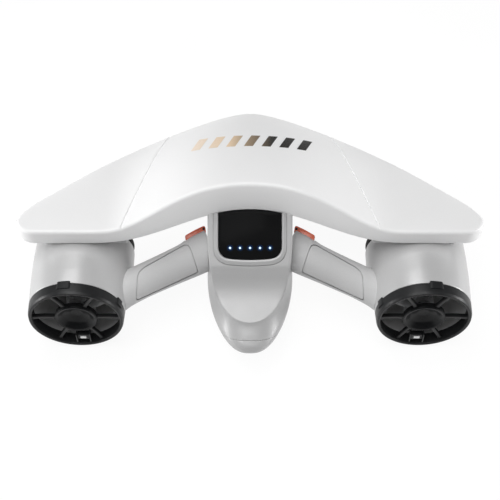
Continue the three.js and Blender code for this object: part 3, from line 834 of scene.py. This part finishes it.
def hull_columns():
    """Wall points from the keel up, the rounded edge, and the deck's edge, for each place along a side."""
    places = [*np.linspace(0, 0.28, 19), *np.linspace(0.3, 0.38, 7), *np.linspace(0.385, 0.43, 19),
              *np.linspace(0.44, 1, 67)]
    columns = []
    for s in places:
        top = wall_top(s)
        x_top, y_top = hull_plan(top, s)
        shown = float_rear(x_top) + DECK_REACH - y_top
        on_deck = shown > 0
        round_off = 1.7 * smooth(shown / 1.5) if on_deck else 0.0
        lower = [0, 0.8, 2, 4, 7, 10.5, KEEL_SPLIT]
        upper = KEEL_SPLIT + (top - round_off - KEEL_SPLIT) * np.linspace(0, 1, 34)[1:]
        column = [(*hull_plan(z, s), z) for z in [*lower, *upper]]
        inner_x = max(0.0, x_top - round_off * 1.25)
        start = Vector(column[-1])
        corner = Vector((x_top, y_top, top))
        end = Vector((inner_x, y_top, deck_height(y_top) if on_deck else top))
        if round_off:
            for t in (0.2, 0.4, 0.6, 0.8, 1.0):
                column.append(tuple(start * (1 - t) ** 2 + corner * 2 * t * (1 - t) + end * t * t))
        else:
            column += [tuple(start.lerp(end, t)) for t in (0.2, 0.4, 0.6, 0.8, 1.0)]
        columns.append(column)
    return columns


def hull_surface():
    """The hull's outer surface as points and faces: both sides, the bottom and the deck."""
    columns = hull_columns()
    count, depth = len(columns), len(columns[0])
    points, faces = [], []
    for side in (1, -1):
        base = len(points)
        points += [(side * x, y, z) for column in columns for x, y, z in column]
        faces += rows_to_faces(count, depth, wrap=False, offset=base)
    spans = 18
    for edge in (depth - 1, 0):
        base = len(points)
        for column in columns:
            x, y, z = column[edge]
            for j in range(spans + 1):
                u = lerp(1, -1, j / spans)
                points.append((x * u, y, z))
        faces += rows_to_faces(count, spans + 1, wrap=False, offset=base)
    return points, faces


def cut_away(thing, through, normal):
    """Removes the part of an open surface on the side that the normal points to, all in millimetres."""
    work = bmesh.new()
    work.from_mesh(thing.data)
    geometry = work.verts[:] + work.edges[:] + work.faces[:]
    bmesh.ops.bisect_plane(
        work, geom=geometry, dist=1e-7, plane_co=to_frame(through), plane_no=normal, clear_outer=True
    )
    work.to_mesh(thing.data)
    work.free()


SPLIT_NORMAL = Vector((0, 0.63, 1)).normalized()
SPLIT_POINT = (0, -92.0, 49.0)
SEAM = 0.4


def hull_piece(name, material, cuts):
    points, faces = hull_surface()
    piece = clean(new_object(name, points, faces, material), sharp=30)
    for through, normal in cuts:
        cut_away(piece, through, normal)
    thicken(piece, WALL)
    bevel(piece, 0.35, angle=65)
    return clean(piece, sharp=34)


def outward_at(line, i):
    """The unit direction out of an open line at its point i, and how much wider the frame is there."""
    before, after = line[max(i - 1, 0)], line[min(i + 1, len(line) - 1)]
    dx, dy = after[0] - before[0], after[1] - before[1]
    length = math.hypot(dx, dy)
    return dy / length, -dx / length, 1 + 0.26 * smooth((-12 - line[i][1]) / 12)


def window_outline(top, grow=0.0):
    """The display window's outline in its own plane, from its top left corner round the bottom."""
    corners = [(-32.5, top, 0), (-32.5, -23.2, 14), (0, -26, 400), (32.5, -23.2, 14), (32.5, top, 0)]
    line = arc_corners(corners, steps=14, closed=False)
    line = resampled(line, 90)
    grown = []
    for i, (x, y) in enumerate(line):
        nx, ny, wider = outward_at(line, i)
        reach = grow * wider if grow > 0 else grow
        grown.append((x + reach * nx, y + reach * ny))
    return grown


def resampled(line, count):
    """The same open line with evenly spaced points."""
    lengths = [0.0]
    for a, b in zip(line, line[1:]):
        lengths.append(lengths[-1] + math.dist(a, b))
    xs, ys = [p[0] for p in line], [p[1] for p in line]
    at = np.linspace(0, lengths[-1], count)
    return list(zip(np.interp(at, lengths, xs), np.interp(at, lengths, ys)))


def window_top(x):
    """How far up its slope the display reaches at x, just short of the float's rear wall."""
    return (float_rear(x) - DISPLAY_Y - 0.6) / math.cos(DISPLAY_TILT)


def display_prism(name, outline, low, high, material):
    rows = [[display_point(x, y, z) for x, y in outline] for z in (low, high)]
    return loft(name, rows, material)


def make_hull():
    keel_plane = ((0, 0, KEEL_SPLIT), (0, 0, -1))
    housing = hull_piece(
        "hull_skin", "silver",
        [keel_plane, ((0, SPLIT_POINT[1], SPLIT_POINT[2]), -SPLIT_NORMAL)],
    )
    recess = window_outline(40, grow=5.3)
    boolean(housing, display_prism("recess", recess, -1.8, 30, "silver"))
    opening = window_outline(40, grow=-1)
    boolean(housing, display_prism("opening", opening, -12, 3, "silver"))
    single(clean(housing, sharp=34), "hull", "hull_housing", slot="white_plastic")

    below = ((0, 0, KEEL_SPLIT - SEAM), (0, 0, 1))
    ahead = ((0, SPLIT_POINT[1] + SEAM, SPLIT_POINT[2]), -SPLIT_NORMAL)
    keel = hull_piece("keel_skin", "keel", [below, ahead])
    holes = [turned_up("hole", [(0, -3), (3.3, -3), (3.3, 8), (0, 8)], x, y) for x, y in KEEL_SCREWS]
    holes.append(turned_up("hole", [(0, -3), (14.3, -3), (14.3, 9), (0, 9)], 0, 34, sides=64))
    for hole in holes:
        boolean(keel, hole)
    single(clean(keel, sharp=34), "hull", "keel_cover", slot="silver_plastic")

    behind = ((0, SPLIT_POINT[1] - SEAM, SPLIT_POINT[2]), SPLIT_NORMAL)
    cap = hull_piece("battery_cap_shell", "silver", [behind])
    neck = battery_neck()
    single(join("battery_cap_shell", [cap, neck]), "battery_cartridge", "battery_cap", slot="silver_plastic")


KEEL_SCREWS = [(-28, -2), (28, -2), (-28, 66), (28, 66)]


def turned_up(name, profile, x, y, sides=32):
    """A closed (radius, z) profile turned about the vertical through (x, y)."""
    rows = []
    for s in range(sides + 1):
        a = 2 * math.pi * s / sides
        rows.append([(x + r * math.cos(a), y + r * math.sin(a), z) for r, z in profile])
    return loft(name, rows, "keel", wrap=True, caps=False)


def rounded_box_outline(half_x, half_y, radius, steps=6):
    corners = [(-half_x, -half_y), (half_x, -half_y), (half_x, half_y), (-half_x, half_y)]
    return arc_corners([(x, y, radius) for x, y in corners], steps)


def battery_neck():
    """The cap's plug, which enters the bay and carries the sealing ring."""
    rows = []
    for y, grow in ((-76, -3), (-62, -0.4), (-54.6, 0), (-54.5, -1), (-51.5, -1), (-51.4, 0), (-50.3, 0)):
        outline = rounded_box_outline(20 + grow, 15 + grow, 6)
        rows.append([(x, y, 24 + z) for x, z in outline])
    return loft("neck", rows, "black")


def make_display():
    outline = window_outline(22.3)
    lip_corners = [(0.35, -1.4, 0), (0.35, 0.9, 0.5), (1.7, 1.3, 1.2), (4.95, 0.2, 1.4), (4.95, -1.4, 0)]
    section = arc_corners(lip_corners, 5)
    rows = []
    for i, (x, y) in enumerate(outline):
        nx, ny, wider = outward_at(outline, i)
        rows.append([display_point(x + nx * d * wider, y + ny * d * wider, h) for d, h in section])
    lip = loft("display_lip", rows, "silver", sharp=40)
    single(lip, "hull", "display_bezel", slot="silver_plastic")

    glass_line = window_outline(window_top(32.5))
    across = np.linspace(32.5, -32.5, 30)[1:-1]
    loop = glass_line + [(x, window_top(x)) for x in across]
    middle = (0.0, 2.0)
    rows = []
    for z, inset in ((-1.4, 0.1), (0.35, 0.1), (0.52, 0.2), (0.6, 0.45)):
        row = []
        for x, y in loop:
            reach = math.dist((x, y), middle)
            share = 1 - inset / reach
            row.append(display_point(lerp(middle[0], x, share), lerp(middle[1], y, share), z))
        rows.append(row)
    glass = loft("display_window", rows, "glass", sharp=50)
    single(glass, "hull", "display_glass", slot="display_glass")

    lights = []
    for i in range(LIGHTS):
        x = (i - (LIGHTS - 1) / 2) * LIGHT_PITCH
        rows = []
        for z, r in ((-1.2, 1.1), (0.6, 1.1), (0.72, 0.95), (0.78, 0.6), (0.79, 0.15)):
            rows.append([
                display_point(x + r * math.cos(a), LIGHT_Y + r * math.sin(a), z)
                for a in round_angles(24)
            ])
        lights.append(loft("light", rows, "light"))
    single(join("indicator_lights", lights), "hull", "indicator_light_guide", slot="light_guide")


# ---- thrusters, drawn for the right-hand side ----------------------------------------------------
POD_CENTRE = (POD_X, POD_Z)


def polar(r, y, degrees):
    """A point at radius r and an angle from straight up, turning outboard, about the thruster's axis."""
    a = math.radians(degrees)
    return (POD_X + r * math.sin(a), y, POD_Z + r * math.cos(a))


def make_pod():
    duct = turned(
        "pod_shell",
        [(DUCT_R, POD_REAR, 0.6), (POD_R - 2.1, POD_REAR, 1.2), (POD_R - 1, -40, 14), (POD_R - 0.2, -20, 14),
         (POD_R, -4, 10), (POD_R - 0.4, POD_FRONT - 8, 8), (POD_R - 3, POD_FRONT - 0.2, 4),
         (DUCT_R + 0.6, POD_FRONT - 1.5, 1.5), (DUCT_R, POD_FRONT - 7, 3)],
        "pod", POD_CENTRE, sides=144, steps=6,
    )
    swell_inboard(duct)
    saddle = float_saddle()
    pod = join("pod_shell", [duct, saddle])
    both_sides(pod, "hull", "SIDE_pod_housing", slot="white_plastic")


def swell_inboard(duct):
    """Swells the duct's outer surface towards the handle, as a soft shoulder."""
    for vertex in duct.data.vertices:
        x, y, z = (c / MM for c in vertex.co)
        dx, dz = x - POD_X, z - POD_Z
        r = math.hypot(dx, dz)
        if r > DUCT_R + 1.5:
            turn = math.degrees(math.atan2(dz, -dx))
            swell = 3.6 * math.exp(-(((turn - 8) / 34) ** 2)) * smooth((y + CENTRE_Y + 48) / 40)
            swell *= smooth((r - DUCT_R - 1.5) / 4)
            vertex.co.x += dx / r * swell * MM
            vertex.co.z += dz / r * swell * MM


def float_saddle():
    """The block between the duct and the float."""
    rows = []
    for x, low in ((-53, 97.5), (-52, 97.2), (-34, 97), (-26, 94), (0, 98), (26, 94), (32, 94)):
        top = float_floor(POD_X + x, 5) - FIT
        rows.append([(POD_X + x, y, z) for y, z in ((-4, low), (14, low), (14, top), (-4, top))])
    block = loft("saddle", rows, "pod")
    bevel(block, 1.2, angle=40, segments=3)
    return block


def guard_spokes(y_rim, y_hub, hub_r, thick, deep, count=6, first=30):
    spokes = []
    for i in range(count):
        turn = first + 360 / count * i
        rows = []
        for u in np.linspace(0, 1, 9):
            r = lerp(hub_r - 2, DUCT_R + 0.4, u)
            flare = thick * (1 + 0.55 * max(0, 1 - u / 0.16) + 0.7 * max(0, (u - 0.86) / 0.14))
            y = lerp(y_hub, y_rim, u) + 0.8 * math.sin(math.pi * u)
            section = rounded_box_outline(flare / 2, deep / 2, min(flare, deep) * 0.32, 3)
            row = []
            for across, along in section:
                turned_by = math.degrees(across / r)
                row.append(polar(r, y + along, turn + turned_by))
            rows.append(row)
        spokes.append(loft("spoke", rows, "black"))
    return spokes


def ring_sector(name, r_in, r_out, y0, y1, first, last, material="black"):
    """A block of a ring between two angles, with its ends eased down to its inner radius."""
    rows = []
    for u in np.linspace(0, 1, 17):
        ease = smooth(u / 0.26) * smooth((1 - u) / 0.26)
        outer = lerp(r_in + 0.05, r_out, ease)
        turn = lerp(first, last, u)
        section = [(r_in, y0), (outer, y0), (outer, y1), (r_in, y1)]
        rows.append([polar(r, y, turn) for r, y in section])
    return loft(name, rows, material)


def make_rear_guard():
    rim = turned(
        "rear_grille",
        [(DUCT_R - 0.7, GUARD_REAR + 0.8, 0.8), (DUCT_R + 0.8, GUARD_REAR, 0.8),
         (POD_R - 3.6, GUARD_REAR, 1.4), (POD_R - 2.6, GUARD_REAR + 3, 2),
         (POD_R - 2.1, POD_REAR - FIT, 0.3), (DUCT_R - 0.7, POD_REAR - FIT, 0)],
        "black", POD_CENTRE, sides=144,
    )
    dish = turned(
        "dish",
        [(0, -58.8, 0), (6, -59.6, 5), (14, -63.2, 8), (19, -68.0, 1.0), (20.8, -68.6, 0.8), (22, -67.4, 0.8),
         (21.6, -62.0, 1), (16, -58.0, 3), (0, -57.0, 0)],
        "dish", POD_CENTRE, sides=96,
    )
    pieces = [rim, dish, *guard_spokes(-64.8, -64.2, HUB_R, 3.8, 4.6)]
    pieces.append(ring_sector("lug", LUG_R, POD_R - 1.4, POD_REAR - 6.5, POD_REAR + 2.0, -4, 20))
    pieces.append(ring_sector("lug", LUG_R, POD_R - 1.4, POD_REAR - 6.5, POD_REAR + 1.4, -78, -60))
    # latch bracket between the two lower spokes, on the inboard side
    pieces += latch_bracket()
    guard = join("rear_grille", pieces)
    both_sides(guard, "hull", "SIDE_rear_guard", slot="black_plastic")
    tab = block_at("guard_latch_tab", LATCH_R, -68.6, LATCH_TURN, (6.2, 0.9, 3.4), "white", round_off=0.3)
    both_sides(tab, "hull")


def block_at(name, r, y, degrees, size, material, round_off=0.4):
    """A small rounded block at a polar place, upright: size is across, along the axis, and radial."""
    cx, _, cz = polar(r, y, degrees)
    outline = rounded_box_outline(size[0] / 2, size[2] / 2, round_off * 2, 3)
    rows = []
    for dy, inset in ((-size[1] / 2, round_off), (-size[1] / 2 + round_off, 0), (size[1] / 2, 0)):
        share = 1 - inset / (min(size[0], size[2]) / 2)
        rows.append([(cx + ax * share, y + dy, cz + az * share) for ax, az in outline])
    return loft(name, rows, material)


LATCH_R = 34.0
LATCH_TURN = 185.5
LUG_R = 47.4


def latch_bracket():
    base = block_at("bracket", LATCH_R, -65.6, LATCH_TURN, (12.4, 5.2, 8.5), "black")
    ribs = [block_at("rib", LATCH_R + 1.5, -66.5, LATCH_TURN + turn, (1.3, 6.6, 14), "black", 0.3)
            for turn in (-11.5, 11.5)]
    return [base, *ribs]


def make_front_guard():
    rim = turned(
        "front_grille",
        [(DUCT_R - 1, POD_FRONT + FIT, 0), (POD_R - 2.4, POD_FRONT + FIT, 0.3),
         (POD_R - 0.9, POD_FRONT + 1.4, 0.6), (POD_R - 1.4, POD_FRONT + 3, 1), (POD_R - 4, 30.2, 1),
         (DUCT_R, 30.5, 0.8), (DUCT_R - 1, 29, 0.6)],
        "black", POD_CENTRE, sides=144,
    )
    swell_inboard(rim)
    boss = turned(
        "boss",
        [(0, 31, 0), (12, 31, 3), (19, 33.4, 1.5), (18, 35.4, 3), (11, 38, 4), (0, 38, 0)],
        "dish", POD_CENTRE, sides=96,
    )
    guard = join("front_grille", [rim, boss, *guard_spokes(25.5, 33.6, 18, 3.2, 3.6)])
    both_sides(guard, "hull", "SIDE_front_guard", slot="black_plastic")


def make_stator():
    can = turned(
        "stator",
        [(16.8, -30.5, 0.3), (20, -30.5, 1.5), (20, 6, 6), (17.5, 15, 8), (9, 22.3, 8), (0, 23.3, 0),
         (0, 8.3, 0), (16.8, 8.3, 0)],
        "blade", POD_CENTRE, sides=96,
    )
    vanes = []
    for turn in (60, 180, 300):
        rows = []
        for r in np.linspace(19, DUCT_R - 1.6, 8):
            swell = 1 + 0.9 * (max(0, 1 - (r - 19) / 5) ** 2)
            row = []
            for a in round_angles(20):
                across = 1.35 * swell * math.sin(a)
                along = 1.0 + 8.9 * math.cos(a)
                row.append(polar(r, along, turn + math.degrees(across / r)))
            rows.append(row)
        vanes.append(loft("vane", rows, "black"))
    band = turned("band", [(DUCT_R - 2.2, -10, 0.3), (DUCT_R - 0.35, -10, 0), (DUCT_R - 0.35, 12, 0),
                           (DUCT_R - 2.2, 12, 0.3)], "black", POD_CENTRE, sides=96)
    stator = join("stator", [can, *vanes, band])
    both_sides(stator, "hull", "SIDE_stator_frame", slot="black_plastic")


PROP_Y = -42.0
PROP_R = 42.5
BLADE_CHORD = 34.0
BLADE_PITCH = 62.0


def blade_rows(turn):
    rows = []
    for u in [0.22, 0.28, 0.36, 0.45, 0.54, 0.63, 0.72, 0.8, 0.87, 0.92, 0.955, 0.98, 0.993, 1.0]:
        r = u * PROP_R
        chord = BLADE_CHORD * math.sin(math.pi * (0.25 + 0.45 * u))
        pitch = math.atan(BLADE_PITCH / (2 * math.pi * max(r, 12)))
        half = min(chord / 2, 7.6 / math.sin(pitch))
        half *= 1 - 0.42 * max(0.0, (u - 0.86) / 0.14) ** 3
        thick = lerp(2.4, 1.1, u) * (1 if u < 0.97 else 1 - 0.75 * (u - 0.97) / 0.03)
        row = []
        for a in round_angles(28):
            along = half * math.cos(a)
            out = 0.5 * thick * math.copysign(abs(math.sin(a)) ** 0.75, math.sin(a))
            turned_by = (along * math.cos(pitch) - out * math.sin(pitch)) / r
            y = PROP_Y + along * math.sin(pitch) + out * math.cos(pitch)
            row.append(polar(r, y, turn + math.degrees(turned_by)))
        rows.append(row)
    return rows


def make_propeller():
    spinner = turned(
        "propeller_blades",
        [(3.3, -50.5, 0.2), (9, -50.5, 1.5), (12, -48, 2), (13, -44, 3), (13, -34.2, 0.6), (3.3, -34.2, 0)],
        "blade", POD_CENTRE, sides=72,
    )
    blades = [loft("blade", blade_rows(turn), "blade", sharp=60) for turn in (60, 180, 300)]
    propeller = join("propeller_blades", [spinner, *blades])
    both_sides(propeller, "SIDE_rotor", "SIDE_propeller", slot="blade_plastic")


# ---- handles, drawn for the right-hand side ------------------------------------------------------
GRIP_INNER = Vector((40, 9, 69))
GRIP_OUTER = Vector((140, -36, 53))
GRIP_X = (GRIP_OUTER - GRIP_INNER).normalized()
GRIP_LENGTH = (GRIP_OUTER - GRIP_INNER).length
PALM = Vector((0, -0.55, 0.83))
GRIP_Z = (PALM - GRIP_X * GRIP_X.dot(PALM)).normalized()
GRIP_Y = GRIP_Z.cross(GRIP_X)
ACROSS = 18.5
THROUGH = 16.0
GRIP_FLARE = curve_through([(0, 1.08), (0.06, 1.07), (0.2, 1.05), (0.5, 0.99), (0.72, 0.97), (0.82, 0.99),
                            (0.92, 1.04), (1, 1.14)])


def in_grip(x, y, z):
    return tuple(GRIP_INNER + GRIP_X * x + GRIP_Y * y + GRIP_Z * z)


def grip_rows(inset=0.0):
    rows = []
    for u in np.linspace(0, 1, 56):
        flare = GRIP_FLARE(u)
        half, deep = ACROSS * flare - inset, THROUGH * flare - inset
        fuller = 0.15 * (1 - smooth((u - 0.1) / 0.2))  # on the fingers' side, round the trigger
        row = []
        for a in round_angles(96):
            y = half * math.cos(a) * (1 + fuller * max(0, math.cos(a)))
            row.append(in_grip(u * GRIP_LENGTH, y, deep * math.sin(a)))
        rows.append(row)
    return rows


def grip_prism(name, corners, low, high, material="silver"):
    outline = arc_corners(corners, 8)
    return loft(name, [[in_grip(x, y, z) for x, y in outline] for z in (low, high)], material)


def panel_corners(inset):
    """The palm cover's outline in the handle's x and y, drawn in by inset: each corner has a radius."""
    low, high = -16.6 + inset, 16.6 - inset
    return [(24.3 + inset, low, 1.5), (95.4 - inset, low, 1.5), (83 - inset, 8, 14), (74, 11.8 - inset, 10),
            (21 + inset, high, 6)]


def trigger_corners():
    return [(3.6, 9.5, 0.5), (20, 11.5, 1), (22, 14, 2), (21.6, 20.5, 2), (20.6, 25.2, 2.5), (8, 26.4, 20),
            (-3.6, 26.6, 2.6), (-1.6, 20, 2)]


def make_grip():
    keep_out = turned("keep_out", [(0, -80, 0), (POD_R - 1.5, -80, 0), (POD_R - 1.5, 60, 0), (0, 60, 0)],
                      "grip", POD_CENTRE, sides=96)
    bar = loft("grip_skin", grip_rows(), "grip")
    boolean(bar, keep_out)
    boolean(bar, hull_block())
    cover = bar.copy()
    cover.data = bar.data.copy()
    cover.name = "grip_palm_cover"
    bpy.context.scene.collection.objects.link(cover)
    inner = loft("inner", grip_rows(inset=2.2), "grip")
    cutter = grip_prism("cutter", panel_corners(0), 3, 40)
    boolean(cutter, inner)
    boolean(bar, cutter)
    boolean(bar, grip_prism("pocket", trigger_pocket(), -5.5, 5.5, "black"))
    both_sides(clean(bar, sharp=38), "hull", "SIDE_grip_frame", slot="white_plastic")
    plate = grip_prism("plate", panel_corners(0.75), 3.6, 40)
    inner = loft("inner", grip_rows(inset=2.0), "grip")
    boolean(plate, inner)
    boolean(cover, plate, "INTERSECT")
    cover.data.materials.clear()
    cover.data.materials.append(MATERIALS["grip"])
    both_sides(clean(cover, sharp=38), "hull", "SIDE_grip_cover", slot="silver_plastic")


def trigger_pocket():
    return [(-4.3, 8, 1), (22.6, 8, 1), (22.6, 40, 0), (-4.3, 40, 0)]


def hull_block():
    """A solid in the hull's outer form, which trims what runs into its side."""
    places = np.linspace(0.2, 0.7, 30)
    rows = []
    for z in np.linspace(30, 110, 12):
        row = []
        for s in places:
            x, y = hull_plan(z, s)
            row.append((x + 0.3, y, z))
        row += [(-5, row[-1][1], z), (-5, row[0][1], z)]
        rows.append(row)
    return loft("hull_block", rows, "silver")


def grip_pin(name, x, y, levels, sides, material="black"):
    """A pin across the handle at (x, y), through (z, radius) levels."""
    rows = [[in_grip(x + r * math.cos(a), y + r * math.sin(a), z) for a in round_angles(sides)]
            for z, r in levels]
    return loft(name, rows, material)


TRIGGER_PIN = (6, 15)


def make_trigger():
    outline = arc_corners(trigger_corners(), 5)
    centre = Vector((10, 18))
    edges = [(5, 1.4), (4.7, 0.6), (4.1, 0.15), (3.2, 0)]  # (height, how far the edge is eased in)
    rows = []
    for z, inset in [(-z, inset) for z, inset in edges] + edges[::-1]:
        row = []
        for x, y in outline:
            out = Vector((x, y)) - centre
            p = centre + out * (1 - inset / max(out.length, 4))
            row.append(in_grip(p.x, p.y, z))
        rows.append(row)
    lever = loft("trigger_lever", rows, "red", sharp=50)
    boolean(lever, grip_pin("hole", *TRIGGER_PIN, ((-9, 1.9), (9, 1.9)), 24))
    boolean(lever, grip_pin("slot", *TRIGGER_PIN, ((-2.5, 4.7), (2.5, 4.7)), 32))
    both_sides(clean(lever, sharp=50), "SIDE_trigger_lever", "SIDE_trigger", slot="red_plastic")
    # A black disc on the lever's inner end: painted shade standing in for the dark of a hole there.
    painted_hole_shade = grip_pin("trigger_end_painted_shade", -0.3, 23.4, ((4.4, 1.3), (5.1, 1.3), (5.2, 1.0)), 20)
    both_sides(painted_hole_shade, "SIDE_trigger_lever")


# ---- studio --------------------------------------------------------------------------------------
def make_camera():
    camera = bpy.data.objects.new("camera", bpy.data.cameras.new("camera"))
    bpy.context.scene.collection.objects.link(camera)
    camera.data.lens = CAMERA_LENS
    camera.data.sensor_width = CAMERA_SENSOR
    camera.location = CAMERA_PLACE
    camera.rotation_euler = (math.pi / 2 - CAMERA_PITCH, 0, 0)
    bpy.context.scene.camera = camera


def area_light(name, size, energy, location, target):
    data = bpy.data.lights.new(name, "AREA")
    data.shape = "RECTANGLE"
    data.size, data.size_y = size
    data.energy = energy
    light = bpy.data.objects.new(name, data)
    light.location = location
    direction = Vector(target) - Vector(location)
    light.rotation_euler = direction.to_track_quat("-Z", "Y").to_euler()
    bpy.context.scene.collection.objects.link(light)


def make_studio():
    shader = Shader("floor_white")
    shader.set(Roughness=1.0, Specular_IOR_Level=0.0)
    tone = shader.mottle(shader.noise(3, 2.0), (0.93, 0.93, 0.93), (0.95, 0.95, 0.95))
    shader.link(tone, shader.surface.inputs["Emission Color"])
    shader.surface.inputs["Emission Strength"].default_value = 0.98
    shader.surface.inputs["Base Color"].default_value = (0.09, 0.09, 0.09, 1)
    MATERIALS["floor"] = shader.material
    half, below = 6000, -0.4
    corners = [(-half, -half, below), (half, -half, below), (half, half, below), (-half, half, below)]
    floor = new_object("floor", corners, [(0, 1, 2, 3)], "floor")
    world = bpy.data.worlds.new("studio")
    world.use_nodes = True
    world.node_tree.nodes["Background"].inputs["Color"].default_value = (1, 1, 1, 1)
    world.node_tree.nodes["Background"].inputs["Strength"].default_value = 0.08
    bpy.context.scene.world = world
    bpy.context.scene.view_settings.view_transform = "Standard"
    area_light("key", (2.4, 1.3), 44, (-0.4, -0.1, 2.1), (0, 0, 0.1))
    area_light("left_softbox", (0.6, 0.4), 9, (-1.3, -0.1, 0.24), (-0.18, 0, 0.06))
    area_light("right_softbox", (0.6, 0.4), 9, (1.3, -0.1, 0.24), (0.18, 0, 0.06))


# ---- scooter -------------------------------------------------------------------------------------
make_camera()
dress_cad_nodes()
make_float()
make_float_graphic()
make_hull()
make_display()
make_pod()
make_rear_guard()
make_front_guard()
make_stator()
make_propeller()
make_grip()
make_trigger()
make_studio()
